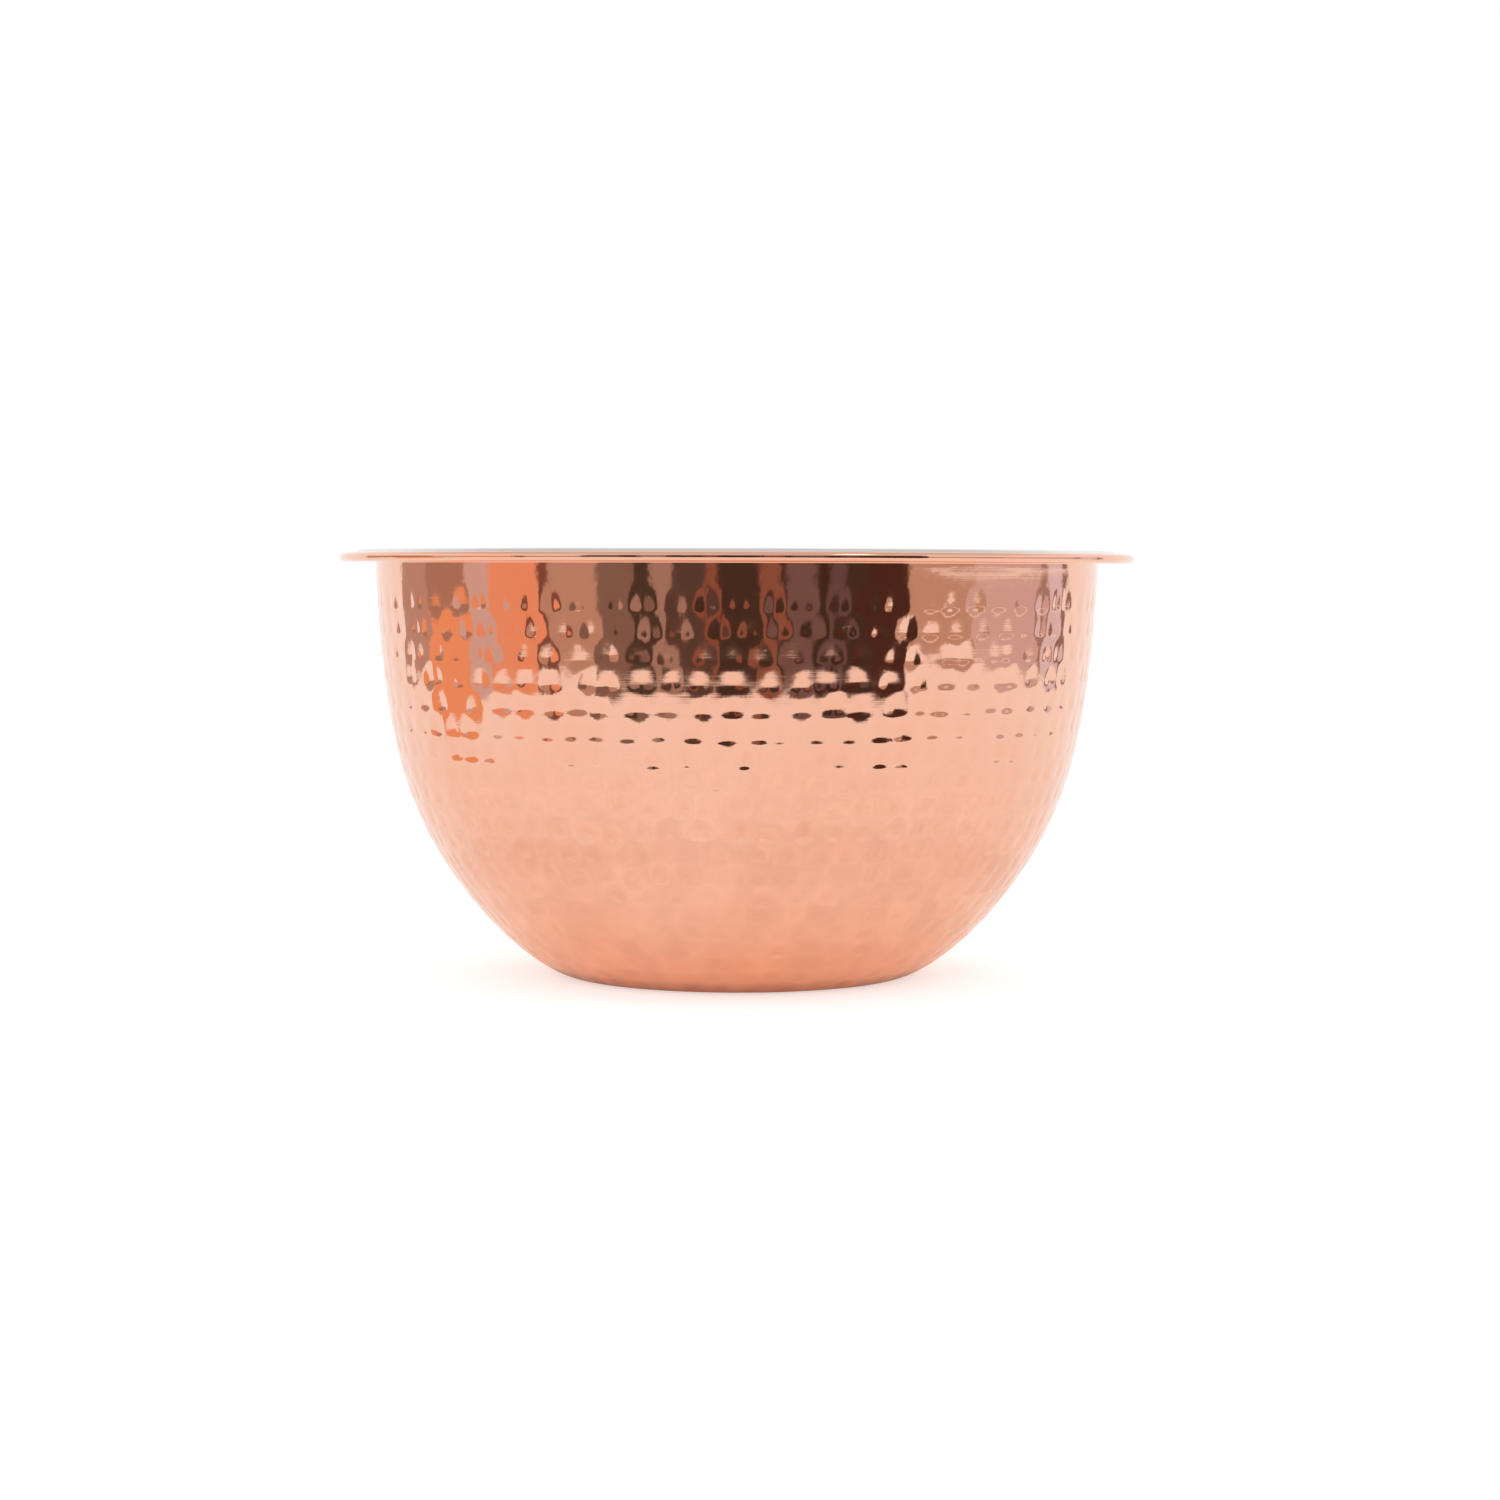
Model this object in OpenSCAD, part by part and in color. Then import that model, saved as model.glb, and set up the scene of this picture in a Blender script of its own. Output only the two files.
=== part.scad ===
// Hammered copper mixing bowl with a stainless liner and a wired edge.
// The copper sheet runs from the base up the wall, out along a flat flange and round a
// wire. The end of that curl closes on the edge of the liner's crowned rim and holds
// the liner in. Millimetres, origin at the middle of the base, +Z up.

/* [Bowl] */
// Diameter over the wired edge
rim_d = 254; // [220:1:320]
// Height from the table to the crown of the rim
bowl_h = 136; // [114:1:164]
// Diameter of the flat that the bowl stands on
base_d = 106.4; // [84:0.4:124]

/* [Rim] */
// Width of the rim beyond the wall
rim_w = 11.4; // [11:0.2:13]
// Height of the crown above the underside of the flange
crown_h = 3.8; // [3.7:0.1:4.6]
// Radius of the corner between the wall and the underside of the flange
bend_r = 0.4; // [0.3:0.1:1.6]

/* [Side] */
// Place where the belly turns up, as a share of the way from the base's edge to the wall
turn_out = 0.44; // [0.4:0.01:0.48]
// Height of that place, as a share of the flange's height
turn_up = 0.145; // [0.13:0.005:0.17]
// Slope of the sheet at that place, in degrees from level
turn_slope = 48.4; // [46:0.2:52]
// Lean of the wall under the flange, in degrees from upright
wall_lean = 2.7; // [1:0.1:5]

/* [Curve pulls] */
// How far the base's flat runs on into the belly, as a share of the belly's chord
base_pull = 0.17; // [0.1:0.01:0.3]
// How far the turn's slope runs back into the belly, as a share of the belly's chord
belly_pull = 0.42; // [0.3:0.01:0.5]
// How far the turn's slope runs up into the wall, as a share of the wall's chord
turn_pull = 0.33; // [0.26:0.01:0.36]
// How far the wall's lean runs down from the flange, as a share of the wall's chord
wall_pull = 0.48; // [0.38:0.01:0.54]

/* [Sheet] */
// Thickness of the copper
copper_t = 0.8; // [0.6:0.1:1]
// Thickness of the liner's steel
steel_t = 0.6; // [0.4:0.1:0.7]

/* [Hidden] */
$fn = 180;

// Steps in each curve
belly_steps = 10;
wall_steps = 22;
bend_steps = 5;
lip_steps = 8;
fall_steps = 8;
turn_steps = 24;

// The wire's middle is level with the top of the liner's edge, so the curl ends flat on it
wire_r = steel_t;
bead_r = wire_r + copper_t;
rim_r = rim_d / 2;
wall_r = rim_r - rim_w;
base_r = base_d / 2;
flange_z = bowl_h - crown_h;
wire_at = [rim_r - bead_r, flange_z + bead_r];

// Directions of the sheet, as unit vectors in the plane of the outline
out = [1, 0];
turn_dir = [cos(turn_slope), sin(turn_slope)];
wall_dir = [sin(wall_lean), cos(wall_lean)];

// Ends of the two side curves
base_end = [base_r, 0];
turn_at = [base_r + turn_out * (wall_r - base_r), turn_up * flange_z];
wall_top = [wall_r, flange_z - bend_r * (1 - sin(wall_lean))];
bend_at = wall_top + bend_r * [wall_dir[1], -wall_dir[0]];

// Underside of the liner's crown: its crest, and the flat edge that the curl holds
crest_share = 1 / 3;
flat_w = 0.8;
crest_at = [wall_r + crest_share * rim_w, bowl_h - steel_t];
edge_end = [wire_at[0] - wire_r, flange_z + copper_t];
edge_start = edge_end - (copper_t + flat_w) * out;
// Handle that makes a cubic curve a quarter of an ellipse
quarter_pull = 0.552;
fall_pulls = [0.5, 0.4];

function cubic(p, t) =
    pow(1 - t, 3) * p[0] + 3 * pow(1 - t, 2) * t * p[1] + 3 * (1 - t) * t * t * p[2] + pow(t, 3) * p[3];

// Curve that leaves a along da and arrives at b along db
function curve(a, da, b, db, steps) =
    let (p = [a, a + da, b - db, b])
    [for (i = [0 : steps]) cubic(p, i / steps)];

function arc(middle, r, from, to, steps) =
    [for (i = [0 : steps])
        let (a = from + (to - from) * i / steps)
        middle + r * [cos(a), sin(a)]];

function reversed(path) = [for (i = [len(path) - 1 : -1 : 0]) path[i]];

function after_first(path) = [for (i = [1 : len(path) - 1]) path[i]];

function left_of(v) = [-v[1], v[0]] / norm(v);

// Same path at distance d to its left, mitred at each point
function beside(path, d) =
    let (last = len(path) - 1)
    [for (i = [0 : last])
        let (
            n1 = left_of(path[max(i, 1)] - path[max(i, 1) - 1]),
            n2 = left_of(path[min(i, last - 1) + 1] - path[min(i, last - 1)])
        )
        path[i] + d * (n1 + n2) / (1 + n1 * n2)];

belly_chord = norm(turn_at - base_end);
wall_chord = norm(wall_top - turn_at);

// Outside of the copper from the middle of the base to the top of the wall
side_path = concat(
    [[0, 0]],
    curve(base_end, base_pull * belly_chord * out,
          turn_at, belly_pull * belly_chord * turn_dir, belly_steps),
    after_first(curve(turn_at, turn_pull * wall_chord * turn_dir,
                      wall_top, wall_pull * wall_chord * wall_dir, wall_steps))
);

// The same, with the bend and the flange as far as the wire
shell_path = concat(
    side_path,
    after_first(arc(bend_at, bend_r, 180 - wall_lean, 90, bend_steps)),
    [[wire_at[0], flange_z]]
);

// Inside of the copper's side, which the liner lies against
nest_path = [for (i = [0 : len(side_path) - 1]) beside(shell_path, copper_t)[i]];
nest_top = nest_path[len(nest_path) - 1];

// Underside of the liner, from the middle of the base to the edge under the curl
liner_path = concat(
    nest_path,
    after_first(curve(nest_top, quarter_pull * (crest_at[1] - nest_top[1]) * wall_dir,
                      crest_at, quarter_pull * (crest_at[0] - nest_top[0]) * out, lip_steps)),
    after_first(curve(crest_at, fall_pulls[0] * (edge_start[0] - crest_at[0]) * out,
                      edge_start, fall_pulls[1] * (edge_start[0] - crest_at[0]) * out, fall_steps)),
    [edge_end]
);

module spun(outline) {
    rotate_extrude() polygon(outline);
}

// Copper: base, belly, wall, flange and the curl round the wire, in one sheet
module copper_shell() {
    curl_steps = turn_steps * 3 / 4;
    color([0.85, 0.52, 0.40])
        spun(concat(
            shell_path,
            after_first(arc(wire_at, bead_r, -90, 180, curl_steps)),
            reversed(arc(wire_at, wire_r, -90, 180, curl_steps)),
            after_first(reversed(beside(shell_path, copper_t)))
        ));
}

// Stainless liner: nests in the copper and ends in the crowned rim
module steel_liner() {
    color([0.80, 0.80, 0.79])
        spun(concat(liner_path, reversed(beside(liner_path, steel_t))));
}

// Wire that stiffens the edge
module rim_wire() {
    color([0.55, 0.55, 0.56])
        spun(after_first(arc(wire_at, wire_r, -90, 270, turn_steps)));
}

copper_shell();
steel_liner();
rim_wire();
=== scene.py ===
import math

import bpy
import numpy as np
from mathutils import Matrix, Vector


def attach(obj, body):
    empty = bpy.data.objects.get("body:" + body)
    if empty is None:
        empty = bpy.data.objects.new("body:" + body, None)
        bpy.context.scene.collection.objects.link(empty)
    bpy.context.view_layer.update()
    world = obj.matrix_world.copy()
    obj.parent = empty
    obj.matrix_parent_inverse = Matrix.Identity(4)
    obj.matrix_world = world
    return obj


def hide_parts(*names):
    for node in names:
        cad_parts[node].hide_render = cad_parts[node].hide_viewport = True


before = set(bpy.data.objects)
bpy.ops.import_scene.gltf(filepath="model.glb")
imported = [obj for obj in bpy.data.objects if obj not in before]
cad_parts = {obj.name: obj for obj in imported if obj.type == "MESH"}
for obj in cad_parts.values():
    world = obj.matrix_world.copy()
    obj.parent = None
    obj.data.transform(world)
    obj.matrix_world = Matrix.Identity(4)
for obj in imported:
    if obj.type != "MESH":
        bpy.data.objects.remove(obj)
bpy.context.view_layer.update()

MM = 0.001

# Hammer marks: spacing of the rows and along a row, half width, and depth
ROW_PITCH = 7.6 * MM
MARK_PITCH = 9.4 * MM
MARK_REACH = 3.7 * MM
MARK_DEPTH = 0.42 * MM
# Share of a mark's height that its steep foot takes, and how softly the foot meets the slope
MARK_FOOT = 0.23
CREASE = 0.3
# Least and most of a mark's own depth and width, and how far it strays along X, Y and Z
DEPTH_SPREAD = (0.55, 1.2)
REACH_SPREAD = (0.8, 1.3)
MARK_STRAY = (2.1 * MM, 2.1 * MM, 0.45 * MM)
# How far the ridges stand proud, as a share of the depth
RIDGE_SHARE = 0.25
# Along the sheet: flange to the top row, base to the bottom row, and where the marks fade out
TOP_ROW = 10.6 * MM
BOTTOM_ROW = 6.0 * MM
SMOOTH_TOP = 4.0 * MM
FADE = 6.0 * MM
# Slow swell of the whole sheet
WAVE_SIZE = 70 * MM
WAVE_DEPTH = 0.5 * MM
# Rows unless the outline gives another number, and points in each ring before it is divided
ROWS = 19
RING_POINTS = 128
MARK_SEED = 7

# Mesh steps. Rings crowd at the foot of each row, where the sheet turns fastest: their places
# are shares of the row pitch, fine in the top rows and coarse below
SHELL_SEGMENTS = 568
LINER_SEGMENTS = 384
FINE_PLACES = np.array([0.0, 0.07, 0.14, 0.21, 0.29, 0.45, 0.72])
COARSE_PLACES = np.array([0.0, 0.10, 0.20, 0.32, 0.64])
FINE_ROWS = 9
PLAIN_STEP = 1.5 * MM
LINER_STEP = 2.5 * MM
CROWN_STEP = 0.35 * MM
POLE_STEP = 9.0 * MM
# The side ends at the first step shorter than this, above this height
FINE_BEND = 1.0 * MM
LOW = 50 * MM
# Of the points on the hidden inside and on the hidden side of the curl, one in this many is kept
HIDDEN_SKIP = 2
CURL_SKIP = 4
SHARP_EDGE = math.radians(40)
# Distances below which points are welded, are in the same place, or lie on the X-Z plane
WELD = 0.01 * MM
ALIKE = 0.001 * MM
ON_PLANE = 0.0001 * MM

# Linear colours
COPPER = (0.93, 0.53, 0.39)
# Darker copper: real wear, and painted shade in the hollows of the marks
COPPER_WORN_AND_SHADED = (0.90, 0.47, 0.32)
STEEL = (0.87, 0.81, 0.775)
STEEL_WORN = (0.70, 0.68, 0.66)
WIRE = (0.50, 0.50, 0.51)

# Looks. Scales of the noises, per metre: fineness across the lines and run along them, cloud,
# speck and grain. Shares: patches, wear, line_tint, hollow (how far a mark's hollow takes the
# darker colour, as painted shade) and anisotropic. The rough values add up to the roughness
COPPER_LOOK = {"fineness": 2600.0, "run": 5.0, "patches": 0.8, "cloud": 14.0, "speck": 420.0,
               "grain": 330.0, "grain_depth": 0.03 * MM,
               "wear": 0.5, "line_tint": 0.5, "rough": 0.05, "cloud_rough": 0.06, "speck_rough": 0.1,
               "line_depth": 0.012 * MM, "hollow": 0.35, "anisotropic": 0.4}
STEEL_LOOK = {"fineness": 1600.0, "run": 10.0, "patches": 0.3, "cloud": 18.0, "speck": 420.0,
              "grain": 330.0, "grain_depth": 0.0,
              "wear": 0.5, "line_tint": 1.2, "rough": 0.22, "cloud_rough": 0.08, "speck_rough": 0.1,
              "line_depth": 0.05 * MM, "hollow": 0.0, "anisotropic": 0.6}
WIRE_LOOK = {"fineness": 3000.0, "run": 60.0, "patches": 0.5, "cloud": 60.0, "speck": 900.0,
             "grain": 600.0, "grain_depth": 0.01 * MM,
             "wear": 0.7, "line_tint": 0.4, "rough": 0.3, "cloud_rough": 0.1, "speck_rough": 0.2,
             "line_depth": 0.01 * MM, "hollow": 0.0, "anisotropic": 0.2}
PATCH_SCALE = 38.0
# Values of each noise between which it comes in
PATCH_SPAN = (0.38, 0.62)
CLOUD_SPAN = (0.35, 0.65)
SPECK_SPAN = (0.70, 0.78)
# Turns the stretch of a highlight across the fine lines, as a share of a full turn
QUARTER_TURN = 0.25

# Camera and studio
CAMERA_PLACE = (0.0, -1.0166, 0.1289)
CAMERA_PITCH = math.radians(3.214)
CAMERA_YAW = math.radians(0.2455)
CAMERA_ROLL = math.radians(0.155)
LENS = 75.6
SENSOR_WIDTH = 36.0
CLIP_START = 0.02
FLOOR_SIZE = 40.0
# How the floor itself looks: its matt shade, and a haze added so that it stays near white
FLOOR_SEEN = (0.7, 0.7, 0.7)
FLOOR_HAZE = (0.55, 0.55, 0.55)
# How it looks in reflections: distance from the middle and colour; painted shadow at the base, painted warm
# light from the copper near the bowl
FLOOR_PAINTED_LIGHT_AND_SHADOW = [
    (0.055, (0.34, 0.16, 0.11)),
    (0.064, (0.88, 0.56, 0.43)),
    (0.085, (0.95, 0.77, 0.67)),
    (0.105, (0.98, 0.86, 0.79)),
    (0.13, (0.95, 0.83, 0.77)),
    (0.17, (0.99, 0.93, 0.89)),
    (0.45, (1.0, 1.0, 1.0)),
]
# Faint painted light and dark patches in that painted glow, which bring out the marks low on the bowl
MOTTLE_SIZE = 0.018
MOTTLE_DEPTH = 0.34
MOTTLE_END = 0.34
# How the white above looks in reflections: height of the direction, as a sine, and colour
CEILING_GLOW = [
    (0.0, (1.0, 1.0, 1.0)),
    (0.45, (1.0, 1.0, 1.0)),
    (0.75, (0.72, 0.70, 0.68)),
]
LIGHT_POWER = 0.9
LIGHT_SIZE = 0.25
LIGHT_PLACE = (0.77, -0.87, 1.5)
LIGHT_AIM = (0.0, 0.0, 0.08)

# Cards round the bowl: start and end in degrees from the front (right is positive),
# distance, height and colour
CARD_STEP = 4
ROOM = [
    (-123, -107, 0.80, 0.26, (0.52, 0.38, 0.33)),
    (-107, -86, 0.80, 0.26, (0.42, 0.28, 0.22)),
    (-100, -80, 0.395, 0.088, (0.88, 0.44, 0.24)),
    (-84, -74, 0.50, 0.20, (0.66, 0.57, 0.58)),
    (-74, -57, 0.50, 0.20, (0.86, 0.43, 0.27)),
    (-58, -54, 0.52, 0.20, (0.21, 0.09, 0.07)),
    (-56, -36, 0.56, 0.20, (0.52, 0.38, 0.31)),
    (-38, -27, 0.44, 0.30, (0.23, 0.17, 0.15)),
    (-28, -22, 0.44, 0.30, (0.07, 0.05, 0.04)),
    (-23, -17, 0.43, 0.30, (0.38, 0.29, 0.26)),
    (-17, -8, 0.43, 0.30, (0.10, 0.07, 0.06)),
    (-8, -5, 0.43, 0.30, (0.27, 0.12, 0.08)),
    (-5, 6, 0.43, 0.30, (0.06, 0.04, 0.03)),
    (6, 11, 0.43, 0.30, (0.27, 0.13, 0.09)),
    (11, 13, 0.43, 0.30, (0.06, 0.04, 0.03)),
    (13, 21, 0.43, 0.30, (0.18, 0.13, 0.13)),
    (21, 25, 0.43, 0.30, (0.05, 0.03, 0.02)),
    (25, 29, 0.43, 0.30, (0.14, 0.10, 0.11)),
    (29, 35, 0.43, 0.30, (0.06, 0.04, 0.03)),
    (35, 47, 0.43, 0.30, (0.07, 0.03, 0.02)),
    (46, 73, 0.69, 0.24, (0.54, 0.40, 0.33)),
    (73, 102, 0.68, 0.24, (0.66, 0.56, 0.60)),
    (101, 106, 0.74, 0.25, (0.38, 0.28, 0.25)),
    (105, 115, 0.75, 0.25, (0.75, 0.76, 0.90)),
    (114, 119, 0.76, 0.25, (0.30, 0.19, 0.16)),
    (168, 172, 0.55, 0.18, (0.66, 0.56, 0.60)),
    (172, 181, 0.55, 0.18, (0.12, 0.08, 0.07)),
    (181, 184, 0.55, 0.18, (0.36, 0.17, 0.11)),
    (184, 192, 0.55, 0.18, (0.52, 0.38, 0.31)),
]
# Light strip before the right-hand cards: direction and height of its lower edge
STRIP = [(46, 0.115), (64, 0.085), (90, 0.096), (119, 0.118)]
STRIP_REACH = 0.67
STRIP_HEIGHT = 0.015
STRIP_COLOUR = (1.0, 1.0, 1.0)


# ---------------------------------------------------------------- node helpers

def socket_of(sockets, key):
    """Live socket by name, or by place when names repeat."""
    if isinstance(key, int):
        return sockets[key]
    return next(s for s in sockets if s.name == key and s.enabled)


def feed(tree, socket, value):
    """Links a node's output to a socket, or sets a plain value on it."""
    if isinstance(value, bpy.types.NodeSocket):
        tree.links.new(value, socket)
    else:
        socket.default_value = value


def add(tree, kind, inputs=None, **settings):
    """New node with its settings made first, then its inputs linked or set."""
    node = tree.nodes.new(kind)
    for name, value in settings.items():
        setattr(node, name, value)
    for key, value in (inputs or {}).items():
        feed(tree, socket_of(node.inputs, key), value)
    return node


def out(node, key=0):
    return socket_of(node.outputs, key)


def maths(tree, operation, *values):
    node = add(tree, "ShaderNodeMath", dict(enumerate(values)), operation=operation)
    return node.outputs[0]


def vector_maths(tree, operation, *values):
    """Vector result of an operation; the number that SCALE takes has a socket of its own."""
    inputs = dict(enumerate(values))
    if operation == "SCALE":
        inputs["Scale"] = inputs.pop(1)
    return add(tree, "ShaderNodeVectorMath", inputs, operation=operation).outputs[0]


def dot(tree, a, b):
    return add(tree, "ShaderNodeVectorMath", {0: a, 1: b}, operation="DOT_PRODUCT").outputs["Value"]


def named(tree, label):
    """Value that points carry under this label."""
    return add(tree, "GeometryNodeInputNamedAttribute", {"Name": label}, data_type="FLOAT").outputs[0]


def stored(tree, shape, label, value):
    """Shape whose points carry the value under this label."""
    node = add(tree, "GeometryNodeStoreNamedAttribute", {
        "Geometry": shape, "Name": label}, data_type="FLOAT", domain="POINT")
    tree.links.new(value, socket_of(node.inputs, "Value"))
    return node.outputs[0]


def sampled(tree, shape, value, index, data_type):
    """Value at one point of a shape."""
    node = add(tree, "GeometryNodeSampleIndex", data_type=data_type, domain="POINT")
    tree.links.new(shape, socket_of(node.inputs, "Geometry"))
    tree.links.new(value, socket_of(node.inputs, "Value"))
    tree.links.new(index, socket_of(node.inputs, "Index"))
    return out(node, "Value")


def new_tree(name, kind, inputs, outputs):
    """Node group with named sockets; returns it with its input and output nodes."""
    tree = bpy.data.node_groups.new(name, kind)
    for label, socket_type, value in inputs:
        socket = tree.interface.new_socket(name=label, in_out="INPUT", socket_type=socket_type)
        if value is not None:
            socket.default_value = value
    for label, socket_type in outputs:
        tree.interface.new_socket(name=label, in_out="OUTPUT", socket_type=socket_type)
    return tree, tree.nodes.new("NodeGroupInput"), tree.nodes.new("NodeGroupOutput")


def group(tree, made, **inputs):
    """Node that runs a group; an underscore in an input's name stands for a space."""
    node_type = "GeometryNodeGroup" if tree.bl_idname == "GeometryNodeTree" else "ShaderNodeGroup"
    node = tree.nodes.new(node_type)
    node.node_tree = made
    for label, value in inputs.items():
        feed(tree, node.inputs[label.replace("_", " ")], value)
    return node


def cleared(holder):
    """Empty node tree of a material or a world."""
    holder.use_nodes = True
    holder.node_tree.nodes.clear()
    return holder.node_tree


def placed(name, data):
    """New object in the scene that holds this data."""
    made = bpy.data.objects.new(name, data)
    bpy.context.scene.collection.objects.link(made)
    return made


# ---------------------------------------------------------------- finishes

def spun_lines_group():
    """Fine lines that a polishing wheel leaves round a turning bowl, in patches."""
    tree, given, made = new_tree(
        "Spun lines", "ShaderNodeTree",
        [("Fineness", "NodeSocketFloat", 2500.0),
         ("Run", "NodeSocketFloat", 18.0),
         ("Patches", "NodeSocketFloat", 0.5)],
        [("Lines", "NodeSocketFloat")])
    place = add(tree, "ShaderNodeTexCoord").outputs["Object"]
    apart = add(tree, "ShaderNodeSeparateXYZ", {0: place})
    across = add(tree, "ShaderNodeAttribute", attribute_name="along").outputs["Fac"]
    long_way = add(tree, "ShaderNodeCombineXYZ", {
        0: maths(tree, "MULTIPLY", apart.outputs[0], given.outputs["Run"]),
        1: maths(tree, "MULTIPLY", apart.outputs[1], given.outputs["Run"]),
        2: maths(tree, "MULTIPLY", across, given.outputs["Fineness"])})
    lines = add(tree, "ShaderNodeTexNoise", {
        "Vector": long_way.outputs[0], "Scale": 1.0, "Detail": 3.0, "Roughness": 0.6})
    patch = add(tree, "ShaderNodeTexNoise", {
        "Vector": place, "Scale": PATCH_SCALE, "Detail": 3.0, "Roughness": 0.55})
    share = add(tree, "ShaderNodeMapRange", {
        "Value": patch.outputs["Fac"], "From Min": PATCH_SPAN[0], "From Max": PATCH_SPAN[1],
        "To Min": maths(tree, "SUBTRACT", 1.0, given.outputs["Patches"]), "To Max": 1.0},
        interpolation_type="SMOOTHSTEP")
    centred = maths(tree, "SUBTRACT", lines.outputs["Fac"], 0.5)
    tree.links.new(maths(tree, "MULTIPLY", centred, share.outputs[0]), made.inputs["Lines"])
    return tree


def handling_group():
    """Faint cloudiness and small specks from use and cleaning, and the metal's own grain."""
    tree, given, made = new_tree(
        "Handling", "ShaderNodeTree",
        [("Cloud size", "NodeSocketFloat", 14.0),
         ("Grain size", "NodeSocketFloat", 330.0),
         ("Speck size", "NodeSocketFloat", 420.0)],
        [("Cloud", "NodeSocketFloat"), ("Specks", "NodeSocketFloat"), ("Grain", "NodeSocketFloat")])
    place = add(tree, "ShaderNodeTexCoord").outputs["Object"]
    grain = add(tree, "ShaderNodeTexNoise", {
        "Vector": place, "Scale": given.outputs["Grain size"], "Detail": 1.0})
    tree.links.new(grain.outputs["Fac"], made.inputs["Grain"])
    cloud = add(tree, "ShaderNodeTexNoise", {
        "Vector": place, "Scale": given.outputs["Cloud size"], "Detail": 4.0, "Roughness": 0.6,
        "Distortion": 0.4})
    specks = add(tree, "ShaderNodeTexNoise", {
        "Vector": place, "Scale": given.outputs["Speck size"], "Detail": 2.0, "Roughness": 0.5})
    few = add(tree, "ShaderNodeMapRange", {
        "Value": specks.outputs["Fac"], "From Min": SPECK_SPAN[0], "From Max": SPECK_SPAN[1]},
        interpolation_type="SMOOTHSTEP")
    tree.links.new(cloud.outputs["Fac"], made.inputs["Cloud"])
    tree.links.new(few.outputs[0], made.inputs["Specks"])
    return tree


def metal_material(name, clean, worn_and_shaded, lines, handling, look):
    """Metal whose colour, roughness and grain vary with wear, and whose colour darkens in the hollows of the
    marks as painted shade; look holds the finish's values.
    """
    made = bpy.data.materials.new(name)
    tree = cleared(made)
    spun = group(tree, lines, Fineness=look["fineness"], Run=look["run"], Patches=look["patches"])
    used = group(tree, handling, Cloud_size=look["cloud"], Speck_size=look["speck"],
                 Grain_size=look["grain"])
    wear = add(tree, "ShaderNodeMapRange", {
        "Value": used.outputs["Cloud"], "From Min": CLOUD_SPAN[0], "From Max": CLOUD_SPAN[1],
        "To Max": look["wear"]}, interpolation_type="SMOOTHSTEP")
    hollow = add(tree, "ShaderNodeAttribute", attribute_name="mark").outputs["Fac"]
    # Darker in the hollows of the marks as painted shade, added to the real wear
    wear_and_hollow_shade = maths(tree, "MULTIPLY_ADD", hollow, look["hollow"], wear.outputs[0])
    tint = maths(tree, "ADD", wear_and_hollow_shade, maths(tree, "MULTIPLY", spun.outputs["Lines"], look["line_tint"]))
    colour = add(tree, "ShaderNodeMix", {"Factor": tint}, data_type="RGBA")
    socket_of(colour.inputs, "A").default_value = (*clean, 1)
    socket_of(colour.inputs, "B").default_value = (*worn_and_shaded, 1)
    rough = maths(tree, "ADD",
                  maths(tree, "MULTIPLY_ADD", used.outputs["Cloud"], look["cloud_rough"], look["rough"]),
                  maths(tree, "MULTIPLY", used.outputs["Specks"], look["speck_rough"]))
    height = maths(tree, "ADD", maths(tree, "MULTIPLY", spun.outputs["Lines"], look["line_depth"]),
                   maths(tree, "MULTIPLY", used.outputs["Grain"], look["grain_depth"]))
    bump = add(tree, "ShaderNodeBump", {"Strength": 1.0, "Distance": 1.0, "Height": height})
    tangent = add(tree, "ShaderNodeTangent", direction_type="RADIAL", axis="Z")
    shader = add(tree, "ShaderNodeBsdfPrincipled", {
        "Base Color": out(colour, "Result"), "Metallic": 1.0, "Roughness": rough,
        "Anisotropic": look["anisotropic"], "Anisotropic Rotation": QUARTER_TURN,
        "Normal": bump.outputs[0], "Tangent": tangent.outputs[0]})
    result = add(tree, "ShaderNodeOutputMaterial", {"Surface": shader.outputs[0]})
    result.is_active_output = True
    return made


# ---------------------------------------------------------------- outlines from the frame

def section(node):
    """Outline of a CAD node in the X-Z half plane, in order, as (radius, height) points."""
    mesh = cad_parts[node].data
    place = {v.index: (round(v.co.x, 6), round(v.co.z, 6))
             for v in mesh.vertices if v.co.x > 0 and abs(v.co.y) < ON_PLANE}
    beside = {p: set() for p in place.values()}
    for edge in mesh.edges:
        a, b = (place.get(i) for i in edge.vertices)
        if a and b and a != b:
            beside[a].add(b)
            beside[b].add(a)
    # A flat ring has no seam edge, so free ends at one height belong together
    free = [p for p in beside if len(beside[p]) < 2]
    for a in free:
        beside[a].update(b for b in free if b != a and b[1] == a[1])
    path = [min(free, key=lambda p: p[1])]
    while True:
        onward = [p for p in beside[path[-1]] if p not in path]
        if not onward:
            return np.array(path)
        path.append(onward[0])


def length_along(path):
    return np.concatenate([[0.0], np.cumsum(np.linalg.norm(np.diff(path, axis=0), axis=1))])


def even(start, end, step):
    """Even places about step apart, both ends kept."""
    return np.linspace(start, end, max(2, round((end - start) / step) + 1))


def smooth(path, places):
    """Points at these distances along the smooth curve through path."""
    at = length_along(path)
    slope = np.gradient(path, at, axis=0, edge_order=2)
    i = np.clip(np.searchsorted(at, places, side="right") - 1, 0, len(at) - 2)
    span = (at[i + 1] - at[i])[:, None]
    t = (places - at[i])[:, None] / span
    return ((1 + 2 * t) * (1 - t) ** 2 * path[i] + t * (1 - t) ** 2 * span * slope[i]
            + t * t * (3 - 2 * t) * path[i + 1] + t * t * (t - 1) * span * slope[i + 1])


def smoothed(path, step):
    """Points about step apart on the smooth curve through path."""
    return smooth(path, even(0, length_along(path)[-1], step))


def to_axis(point, step):
    """Points from the axis out to a point on a flat, without that point."""
    radii = np.linspace(0, point[0], round(point[0] / step) + 1)[:-1]
    return np.column_stack([radii, np.full(len(radii), point[1])])


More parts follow.
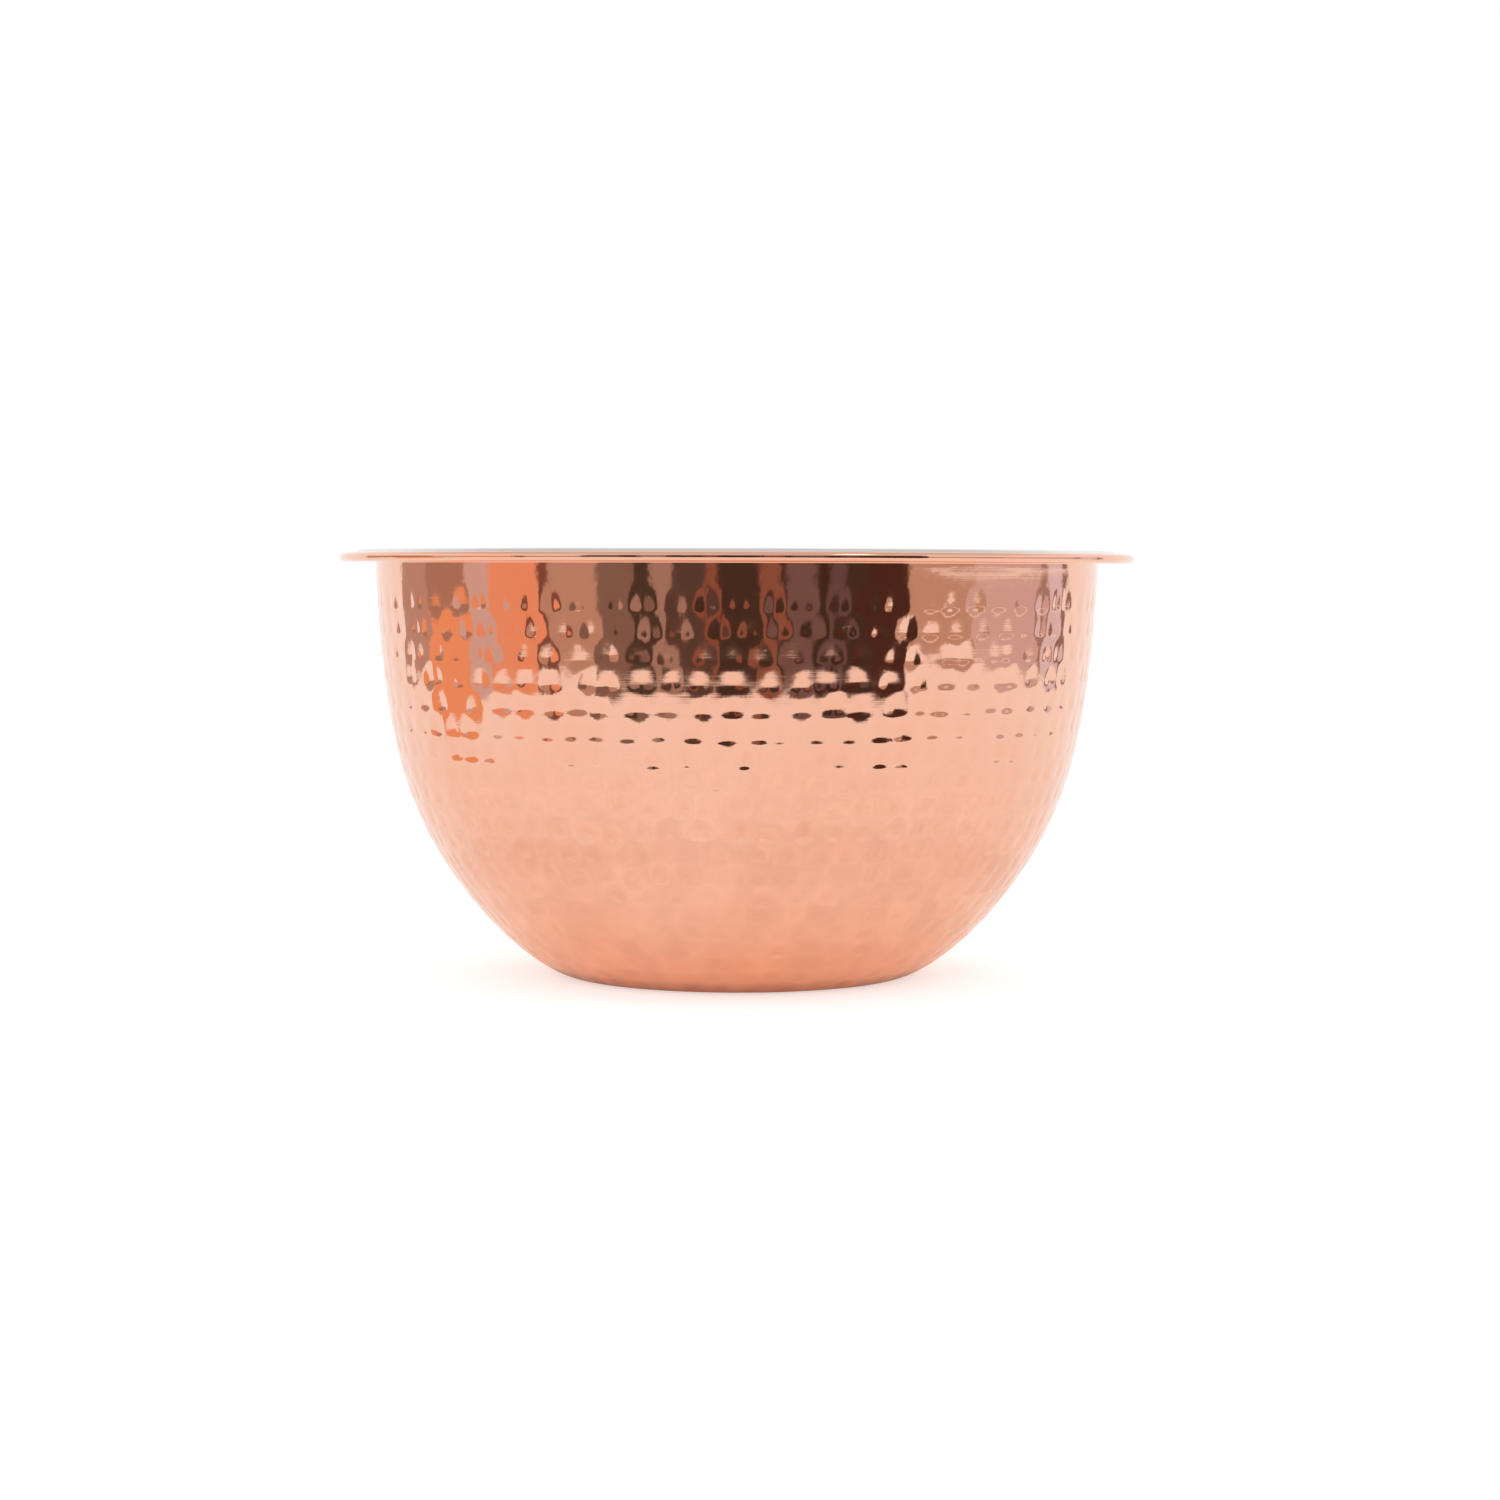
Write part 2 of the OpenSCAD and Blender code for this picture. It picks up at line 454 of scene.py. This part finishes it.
def outline_object(name, path, attributes):
    """Open line in the X-Z plane, with a value at each point for each attribute."""
    mesh = bpy.data.meshes.new(name)
    places = [(r, 0.0, z) for r, z in path]
    mesh.from_pydata(places, [(i, i + 1) for i in range(len(path) - 1)], [])
    for label, values in attributes.items():
        made = mesh.attributes.new(label, "FLOAT", "POINT")
        made.data.foreach_set("value", np.asarray(values, np.float32))
    return placed(name, mesh)


# ---------------------------------------------------------------- surfaces by rule

def spin_group():
    """Turns an outline into a closed surface round Z and keeps its values."""
    tree, given, made = new_tree(
        "Spin", "GeometryNodeTree",
        [("Outline", "NodeSocketGeometry", None), ("Segments", "NodeSocketInt", 360),
         ("Weld", "NodeSocketFloat", WELD)],
        [("Surface", "NodeSocketGeometry")])
    size = add(tree, "GeometryNodeAttributeDomainSize", {0: given.outputs["Outline"]})
    count = size.outputs["Point Count"]
    grid = add(tree, "GeometryNodeMeshGrid", {
        "Vertices X": maths(tree, "ADD", given.outputs["Segments"], 1.0), "Vertices Y": count})
    index = add(tree, "GeometryNodeInputIndex").outputs[0]
    ring = maths(tree, "MODULO", index, count)
    turn = maths(tree, "FLOOR", maths(tree, "DIVIDE", index, count))
    angle = maths(tree, "MULTIPLY", maths(tree, "DIVIDE", turn, given.outputs["Segments"]), math.tau)

    outline = given.outputs["Outline"]
    here = add(tree, "GeometryNodeInputPosition").outputs[0]
    place = sampled(tree, outline, here, ring, "FLOAT_VECTOR")
    turned = add(tree, "ShaderNodeVectorRotate", {"Vector": place, "Angle": angle}, rotation_type="Z_AXIS")
    shape = grid.outputs["Mesh"]
    for label in ("along", "hammered", "rows"):
        value = sampled(tree, outline, named(tree, label), ring, "FLOAT")
        shape = stored(tree, shape, label, value)
    moved = add(tree, "GeometryNodeSetPosition", {"Geometry": shape, "Position": turned.outputs[0]})
    closed = add(tree, "GeometryNodeMergeByDistance", {
        "Geometry": moved.outputs[0], "Distance": given.outputs["Weld"]})
    tree.links.new(closed.outputs[0], made.inputs[0])
    return tree


def marks_group():
    """Middles of the hammer marks: rows round the bowl, each mark a little off its place."""
    tree, given, made = new_tree(
        "Hammer marks", "GeometryNodeTree",
        [("Outline", "NodeSocketGeometry", None), ("Rows", "NodeSocketInt", ROWS),
         ("Mark pitch", "NodeSocketFloat", MARK_PITCH), ("Stray", "NodeSocketVector", MARK_STRAY),
         ("Seed", "NodeSocketInt", MARK_SEED)],
        [("Marks", "NodeSocketGeometry")])
    stretch = add(tree, "GeometryNodeSeparateGeometry", {
        "Geometry": given.outputs["Outline"],
        "Selection": maths(tree, "GREATER_THAN", named(tree, "rows"), 0.5)}, domain="POINT")
    line = add(tree, "GeometryNodeMeshToCurve", {0: stretch.outputs["Selection"]})
    rows = add(tree, "GeometryNodeResampleCurve", {
        "Curve": line.outputs[0], "Count": given.outputs["Rows"]}, mode="COUNT")
    points = add(tree, "GeometryNodeCurveToPoints", {"Curve": rows.outputs[0]}, mode="EVALUATED")
    apart = add(tree, "ShaderNodeSeparateXYZ", {0: add(tree, "GeometryNodeInputPosition").outputs[0]})
    kept = stored(tree, points.outputs["Points"], "row_radius", apart.outputs[0])
    on_axis = add(tree, "ShaderNodeCombineXYZ", {2: apart.outputs[2]})
    centred = add(tree, "GeometryNodeSetPosition", {"Geometry": kept, "Position": on_axis.outputs[0]})
    radius = named(tree, "row_radius")
    scale = add(tree, "ShaderNodeCombineXYZ", {0: radius, 1: radius, 2: 1.0})
    start = add(tree, "FunctionNodeRandomValue", {
        "Min": 0.0, "Max": math.tau, "Seed": given.outputs["Seed"]}, data_type="FLOAT")
    turn = add(tree, "ShaderNodeCombineXYZ", {2: out(start, "Value")})
    ring = add(tree, "GeometryNodeCurvePrimitiveCircle", {
        "Resolution": RING_POINTS, "Radius": 1.0}, mode="RADIUS")
    rings = add(tree, "GeometryNodeInstanceOnPoints", {
        "Points": centred.outputs[0], "Instance": ring.outputs[0],
        "Rotation": turn.outputs[0], "Scale": scale.outputs[0]})
    real = add(tree, "GeometryNodeRealizeInstances", {0: rings.outputs[0]})
    spaced = add(tree, "GeometryNodeResampleCurve", {
        "Curve": real.outputs[0], "Length": given.outputs["Mark pitch"]}, mode="LENGTH")
    middles = add(tree, "GeometryNodeCurveToPoints", {"Curve": spaced.outputs[0]}, mode="EVALUATED")
    stray = add(tree, "FunctionNodeRandomValue", {
        "Min": vector_maths(tree, "SCALE", given.outputs["Stray"], -1.0),
        "Max": given.outputs["Stray"], "Seed": given.outputs["Seed"]}, data_type="FLOAT_VECTOR")
    strayed = add(tree, "GeometryNodeSetPosition", {
        "Geometry": middles.outputs["Points"], "Offset": out(stray, "Value")})
    tree.links.new(strayed.outputs[0], made.inputs[0])
    return tree


def finish_faces(tree, shape, material):
    """Smooth faces with sharp edges kept, real geometry and the material."""
    angle = add(tree, "GeometryNodeInputMeshEdgeAngle").outputs["Unsigned Angle"]
    soft = maths(tree, "LESS_THAN", angle, SHARP_EDGE)
    faces = add(tree, "GeometryNodeSetShadeSmooth", {"Geometry": shape, "Shade Smooth": True}, domain="FACE")
    edges = add(tree, "GeometryNodeSetShadeSmooth", {
        "Geometry": faces.outputs[0], "Shade Smooth": soft}, domain="EDGE")
    real = add(tree, "GeometryNodeRealizeInstances", {0: edges.outputs[0]})
    painted = add(tree, "GeometryNodeSetMaterial", {"Geometry": real.outputs[0], "Material": material})
    return painted.outputs[0]


def mark_shape_group():
    """Depth of the nearest mark at each point, from 0 on a ridge to about 1 in a hollow.

    The hammer leans, so a mark deepens slowly from its top and ends in a short steep foot."""
    tree, given, made = new_tree(
        "Mark shape", "GeometryNodeTree",
        [("Marks", "NodeSocketGeometry", None), ("Row pitch", "NodeSocketFloat", ROW_PITCH),
         ("Mark reach", "NodeSocketFloat", MARK_REACH), ("Foot", "NodeSocketFloat", MARK_FOOT),
         ("Shallowest", "NodeSocketFloat", DEPTH_SPREAD[0]), ("Deepest", "NodeSocketFloat", DEPTH_SPREAD[1]),
         ("Narrowest", "NodeSocketFloat", REACH_SPREAD[0]), ("Widest", "NodeSocketFloat", REACH_SPREAD[1]),
         ("Seed", "NodeSocketInt", MARK_SEED)],
        [("Depth", "NodeSocketFloat")])
    here = add(tree, "GeometryNodeInputPosition").outputs[0]
    near = add(tree, "GeometryNodeSampleNearest", {0: given.outputs["Marks"]}, domain="POINT")
    middle = sampled(tree, given.outputs["Marks"], here, near.outputs[0], "FLOAT_VECTOR")
    away = vector_maths(tree, "SUBTRACT", here, middle)
    across = vector_maths(tree, "NORMALIZE", vector_maths(tree, "CROSS_PRODUCT", (0.0, 0.0, 1.0), here))
    normal = add(tree, "GeometryNodeInputNormal").outputs[0]
    uphill = vector_maths(tree, "CROSS_PRODUCT", normal, across)
    # 0 at the foot of the mark and 1 at its top
    up = add(tree, "ShaderNodeMapRange", {
        "Value": maths(tree, "DIVIDE", dot(tree, away, uphill), given.outputs["Row pitch"]),
        "From Min": -0.5, "From Max": 0.5}).outputs[0]
    foot = given.outputs["Foot"]
    climb = maths(tree, "DIVIDE", up, foot)
    fall = maths(tree, "DIVIDE", maths(tree, "SUBTRACT", 1.0, up), maths(tree, "SUBTRACT", 1.0, foot))
    lengthwise = maths(tree, "SMOOTH_MIN", climb, fall, CREASE)

    def by_mark(least, most, seed):
        """Random value between two inputs, the same all over one mark."""
        return out(add(tree, "FunctionNodeRandomValue", {
            "Min": given.outputs[least], "Max": given.outputs[most], "ID": near.outputs[0],
            "Seed": seed}, data_type="FLOAT"), "Value")

    width = by_mark("Narrowest", "Widest", maths(tree, "ADD", given.outputs["Seed"], 1.0))
    reach = maths(tree, "MULTIPLY", given.outputs["Mark reach"], width)
    off = maths(tree, "DIVIDE", dot(tree, away, across), reach)
    inward = maths(tree, "SUBTRACT", 1.0, maths(tree, "MULTIPLY", off, off))
    share = add(tree, "ShaderNodeClamp", {"Value": inward}).outputs[0]
    crosswise = maths(tree, "MULTIPLY", share, share)
    force = by_mark("Shallowest", "Deepest", given.outputs["Seed"])
    depth = maths(tree, "MULTIPLY", maths(tree, "MULTIPLY", lengthwise, crosswise), force)
    tree.links.new(depth, made.inputs[0])
    return tree


def hammered_tree(spin, marks, mark_shape):
    """Spun shell whose outside is beaten with rows of shallow marks."""
    tree, given, made = new_tree(
        "Hammered shell", "GeometryNodeTree",
        [("Outline", "NodeSocketGeometry", None), ("Segments", "NodeSocketInt", SHELL_SEGMENTS),
         ("Rows", "NodeSocketInt", ROWS), ("Row pitch", "NodeSocketFloat", ROW_PITCH),
         ("Mark pitch", "NodeSocketFloat", MARK_PITCH), ("Mark reach", "NodeSocketFloat", MARK_REACH),
         ("Mark depth", "NodeSocketFloat", MARK_DEPTH), ("Ridge share", "NodeSocketFloat", RIDGE_SHARE),
         ("Stray", "NodeSocketVector", MARK_STRAY),
         ("Wave size", "NodeSocketFloat", WAVE_SIZE), ("Wave depth", "NodeSocketFloat", WAVE_DEPTH),
         ("Seed", "NodeSocketInt", MARK_SEED), ("Metal", "NodeSocketMaterial", None)],
        [("Shell", "NodeSocketGeometry")])
    surface = group(tree, spin, Outline=given.outputs["Outline"], Segments=given.outputs["Segments"])
    middles = group(tree, marks, Outline=given.outputs["Outline"], Rows=given.outputs["Rows"],
                    Mark_pitch=given.outputs["Mark pitch"], Stray=given.outputs["Stray"],
                    Seed=given.outputs["Seed"])
    shape = group(tree, mark_shape, Marks=middles.outputs[0], Row_pitch=given.outputs["Row pitch"],
                  Mark_reach=given.outputs["Mark reach"], Seed=given.outputs["Seed"])
    weight = named(tree, "hammered")
    # The mark's depth shapes the sheet, and in the copper it also darkens the hollows as painted shade
    kept = stored(tree, surface.outputs[0], "mark", maths(tree, "MULTIPLY", shape.outputs[0], weight))
    # Ridges stand a little proud, so the sheet stays near its mean size
    proud = maths(tree, "MULTIPLY", given.outputs["Ridge share"], weight)
    raised = maths(tree, "SUBTRACT", proud, named(tree, "mark"))
    wave = add(tree, "ShaderNodeTexNoise", {
        "Scale": maths(tree, "DIVIDE", 1.0, given.outputs["Wave size"]), "Detail": 1.0})
    centred = maths(tree, "SUBTRACT", out(wave, "Fac"), 0.5)
    swing = maths(tree, "MULTIPLY", centred, given.outputs["Wave depth"])
    height = maths(tree, "MULTIPLY_ADD", raised, given.outputs["Mark depth"],
                   maths(tree, "MULTIPLY", swing, weight))
    normal = add(tree, "GeometryNodeInputNormal").outputs[0]
    moved = add(tree, "GeometryNodeSetPosition", {
        "Geometry": kept, "Offset": vector_maths(tree, "SCALE", normal, height)})
    tree.links.new(finish_faces(tree, moved.outputs[0], given.outputs["Metal"]), made.inputs[0])
    return tree


def spun_tree(spin):
    """Plain spun sheet."""
    tree, given, made = new_tree(
        "Spun sheet", "GeometryNodeTree",
        [("Outline", "NodeSocketGeometry", None), ("Segments", "NodeSocketInt", LINER_SEGMENTS),
         ("Metal", "NodeSocketMaterial", None)],
        [("Sheet", "NodeSocketGeometry")])
    surface = group(tree, spin, Outline=given.outputs["Outline"], Segments=given.outputs["Segments"])
    tree.links.new(finish_faces(tree, surface.outputs[0], given.outputs["Metal"]), made.inputs[0])
    return tree


def made_by(tree, name, source, values):
    """Runs a tree on a source object and returns the result as a plain mesh object."""
    modifier = source.modifiers.new(name, "NODES")
    modifier.node_group = tree
    ids = {item.name: item.identifier for item in tree.interface.items_tree
           if item.item_type == "SOCKET" and item.in_out == "INPUT"}
    for label, value in values.items():
        modifier[ids[label]] = value
    bpy.context.view_layer.update()
    seen = source.evaluated_get(bpy.context.evaluated_depsgraph_get())
    mesh = bpy.data.meshes.new_from_object(seen)
    mesh.name = name
    bpy.data.objects.remove(source)
    return placed(name, mesh)


# ---------------------------------------------------------------- the bowl

def side_of(path):
    """Start of an outline up to its first fine bend, the one at the top of the wall."""
    steps = np.linalg.norm(np.diff(path, axis=0), axis=1)
    last = next(i for i in range(len(steps)) if steps[i] < FINE_BEND and path[i][1] > LOW)
    return path[:last + 1]


def split(path):
    """Outer side, rim and inner side of a sheet's outline, each with its ends."""
    outer = side_of(path)
    inner = side_of(path[::-1])[::-1]
    return outer, path[len(outer) - 1:len(path) - len(inner) + 1], inner


def ramp(distance, reach):
    """Smooth rise from 0 to 1 over the reach."""
    t = np.clip(distance / reach, 0.0, 1.0)
    return t * t * (3 - 2 * t)


def build_shell(spin, copper):
    """Copper sheet: hammered outside, flange, curl round the wire, and a coarser hidden inside."""
    outer, rim, inner = split(section("copper_shell"))
    length = length_along(outer)[-1]
    rows = round((length - TOP_ROW - BOTTOM_ROW) / ROW_PITCH) + 1
    pitch = (length - TOP_ROW - BOTTOM_ROW) / (rows - 1)
    feet = BOTTOM_ROW + pitch * (np.arange(rows) - 0.5)
    coarse, fine = feet[:-FINE_ROWS, None], feet[-FINE_ROWS:, None]
    places = np.concatenate([
        even(0, feet[0], PLAIN_STEP)[:-1], (coarse + pitch * COARSE_PLACES).ravel(),
        (fine + pitch * FINE_PLACES).ravel(), even(feet[-1] + pitch, length, PLAIN_STEP)])
    beaten = smooth(outer, places)
    # Past the end of the curl the sheet is out of sight
    top = int(np.argmax(rim[:, 1]))
    tip = next(i for i in range(top, len(rim)) if rim[i + 1][0] > rim[i][0])
    seen, unseen = rim[1:tip + 2], rim[tip + 2:-1]
    base = to_axis(outer[0], POLE_STEP)
    floor = to_axis(inner[-1], POLE_STEP * 2)[::-1]
    path = np.concatenate([
        base, beaten, seen, unseen[::CURL_SKIP], inner[:-1:HIDDEN_SKIP], inner[-1:], floor])
    along = length_along(path)
    first = len(base)
    last = first + len(beaten)
    hammered = np.zeros(len(path))
    hammered[first:last] = np.minimum(ramp(length - places, SMOOTH_TOP), ramp(places, FADE))
    rowed = np.zeros(len(path))
    rowed[first:last] = (places > BOTTOM_ROW - ALIKE) & (places < length - TOP_ROW + ALIKE)
    line = outline_object("shell_outline", path, {"along": along, "hammered": hammered, "rows": rowed})
    tree = hammered_tree(spin, marks_group(), mark_shape_group())
    return made_by(tree, "hammered_shell", line, {"Metal": copper, "Rows": rows, "Row pitch": pitch})


def build_liner(spin, steel):
    """Steel sheet: smooth inside, crowned rim, and the hidden underside that nests in the copper."""
    outer, rim, inner = split(section("steel_liner"))
    edge = max(range(len(rim)), key=lambda i: (rim[i][0], rim[i][1]))
    path = np.concatenate([
        to_axis(outer[0], POLE_STEP * 2), outer[:-1], rim[:edge + 1],
        smoothed(rim[edge + 1:], CROWN_STEP), smoothed(inner, LINER_STEP)[1:],
        to_axis(inner[-1], POLE_STEP)[::-1]])
    along = length_along(path)
    line = outline_object("liner_outline", path, {"along": along, "hammered": 0 * along, "rows": 0 * along})
    return made_by(spun_tree(spin), "spun_liner", line, {"Metal": steel})


# ---------------------------------------------------------------- studio

def room_cards():
    """Curved cards round the bowl that only its reflections show."""
    places, faces, colours = [], [], []

    def post(angle, reach, low, high, colour, joined):
        """Upright edge of a card, joined to the one before it by a face."""
        turn = math.radians(angle)
        for z in (low, high):
            places.append((reach * math.sin(turn), -reach * math.cos(turn), z))
            colours.append((*colour, 1.0))
        if joined:
            n = len(places)
            faces.append((n - 4, n - 2, n - 1, n - 3))

    for start, end, reach, height, colour in ROOM:
        count = max(1, math.ceil((end - start) / CARD_STEP))
        for i in range(count + 1):
            post(start + (end - start) * i / count, reach, 0.0, height, colour, i > 0)
    angles = np.arange(STRIP[0][0], STRIP[-1][0] + 1)
    for i, low in enumerate(np.interp(angles, *zip(*STRIP))):
        post(angles[i], STRIP_REACH, low, low + STRIP_HEIGHT, STRIP_COLOUR, i > 0)
    mesh = bpy.data.meshes.new("room")
    mesh.from_pydata(places, [], faces)
    glow = mesh.color_attributes.new("glow", "FLOAT_COLOR", "POINT")
    glow.data.foreach_set("color", np.array(colours, np.float32).ravel())
    room = placed("room", mesh)
    made = bpy.data.materials.new("room")
    tree = cleared(made)
    seen = add(tree, "ShaderNodeVertexColor", layer_name="glow")
    light = add(tree, "ShaderNodeEmission", {"Color": seen.outputs["Color"], "Strength": 1.0})
    add(tree, "ShaderNodeOutputMaterial", {"Surface": light.outputs[0]})
    mesh.materials.append(made)
    room.visible_camera = False
    room.visible_diffuse = False
    room.visible_shadow = False
    room.visible_transmission = False


def glow_ramp(tree, value, stops):
    """Colour that runs through these places and colours."""
    node = add(tree, "ShaderNodeValToRGB", {"Fac": value})
    points = node.color_ramp.elements
    for place, _ in stops[2:]:
        points.new(place)
    for point, (place, colour) in zip(points, stops):
        point.position = place
        point.color = (*colour, 1)
    return out(node, "Color")


def floor_sheet():
    """Large white sheet that the bowl stands on. In reflections it shows painted light instead of its own
    shading: a painted shadow at the base, a painted warm glow near the bowl, in painted patches.
    """
    mesh = bpy.data.meshes.new("floor")
    half = FLOOR_SIZE / 2
    corners = [(-half, -half, 0), (half, -half, 0), (half, half, 0), (-half, half, 0)]
    mesh.from_pydata(corners, [], [(0, 1, 2, 3)])
    floor = placed("floor", mesh)
    made = bpy.data.materials.new("white_sheet_painted_reflection")
    tree = cleared(made)
    place = add(tree, "ShaderNodeTexCoord").outputs["Object"]
    distance = add(tree, "ShaderNodeVectorMath", {0: place}, operation="LENGTH").outputs["Value"]
    # Painted light and dark patches in the reflected glow, fading out away from the bowl
    cloud = add(tree, "ShaderNodeTexNoise", {
        "Vector": place, "Scale": 1.0 / MOTTLE_SIZE, "Detail": 2.0, "Roughness": 0.6})
    swing = maths(tree, "SUBTRACT", out(cloud, "Fac"), 0.5)
    depth = add(tree, "ShaderNodeMapRange", {
        "Value": distance, "From Min": MOTTLE_END / 2, "From Max": MOTTLE_END,
        "To Min": MOTTLE_DEPTH, "To Max": 0.0}).outputs[0]
    # Seen only in reflections: painted shadow dark at the base, painted warm light near the bowl
    glow = add(tree, "ShaderNodeEmission", {
        "Color": glow_ramp(tree, distance, FLOOR_PAINTED_LIGHT_AND_SHADOW),
        "Strength": maths(tree, "MULTIPLY_ADD", swing, depth, 1.0)})
    matt = add(tree, "ShaderNodeBsdfDiffuse", {"Color": (*FLOOR_SEEN, 1)})
    haze = add(tree, "ShaderNodeEmission", {"Color": (*FLOOR_HAZE, 1)})
    shown = add(tree, "ShaderNodeAddShader", {0: matt.outputs[0], 1: haze.outputs[0]})
    seen = add(tree, "ShaderNodeLightPath").outputs["Is Camera Ray"]
    either = add(tree, "ShaderNodeMixShader", {0: seen, 1: glow.outputs[0], 2: shown.outputs[0]})
    add(tree, "ShaderNodeOutputMaterial", {"Surface": either.outputs[0]})
    mesh.materials.append(made)


def soft_light():
    """Small soft light high in front, to the right. It makes the highlight on the rolled edge."""
    data = bpy.data.lights.new("soft_light", "AREA")
    data.shape = "RECTANGLE"
    data.size = LIGHT_SIZE
    data.size_y = LIGHT_SIZE
    data.energy = LIGHT_POWER
    light = placed("soft_light", data)
    light.location = LIGHT_PLACE
    light.rotation_euler = (Vector(LIGHT_AIM) - light.location).to_track_quat("-Z", "Y").to_euler()


def white_world():
    """White all round, a little darker high up in reflections."""
    world = bpy.data.worlds.new("white")
    bpy.context.scene.world = world
    tree = cleared(world)
    apart = add(tree, "ShaderNodeSeparateXYZ", {0: add(tree, "ShaderNodeTexCoord").outputs["Generated"]})
    mirrored = add(tree, "ShaderNodeLightPath").outputs["Is Glossy Ray"]
    colour = add(tree, "ShaderNodeMix", {"Factor": mirrored}, data_type="RGBA")
    socket_of(colour.inputs, "A").default_value = (1.0, 1.0, 1.0, 1)
    tree.links.new(glow_ramp(tree, apart.outputs[2], CEILING_GLOW), socket_of(colour.inputs, "B"))
    back = add(tree, "ShaderNodeBackground", {"Color": out(colour, "Result"), "Strength": 1.0})
    add(tree, "ShaderNodeOutputWorld", {"Surface": back.outputs[0]})
    bpy.context.scene.view_settings.view_transform = "Standard"


def camera():
    data = bpy.data.cameras.new("camera")
    data.sensor_width = SENSOR_WIDTH
    data.lens = LENS
    data.clip_start = CLIP_START
    made = placed("camera", data)
    turn = Matrix.Rotation(-CAMERA_YAW, 4, "Z")
    tilt = Matrix.Rotation(math.pi / 2 - CAMERA_PITCH, 4, "X")
    roll = Matrix.Rotation(CAMERA_ROLL, 4, "Z")
    made.matrix_world = Matrix.Translation(CAMERA_PLACE) @ turn @ tilt @ roll
    bpy.context.scene.camera = made


# ---------------------------------------------------------------- assembly

def main():
    camera()
    white_world()
    floor_sheet()
    soft_light()
    room_cards()

    lines = spun_lines_group()
    handling = handling_group()
    copper = metal_material("hammered_copper", COPPER, COPPER_WORN_AND_SHADED, lines, handling, COPPER_LOOK)
    steel = metal_material("brushed_steel", STEEL, STEEL_WORN, lines, handling, STEEL_LOOK)
    wire = metal_material("drawn_wire", WIRE, STEEL_WORN, lines, handling, WIRE_LOOK)

    spin = spin_group()
    shell = build_shell(spin, copper)
    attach(shell, "root")
    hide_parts("copper_shell")

    liner = build_liner(spin, steel)
    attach(liner, "root")
    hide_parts("steel_liner")

    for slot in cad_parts["rim_wire"].material_slots:
        slot.material = wire


main()
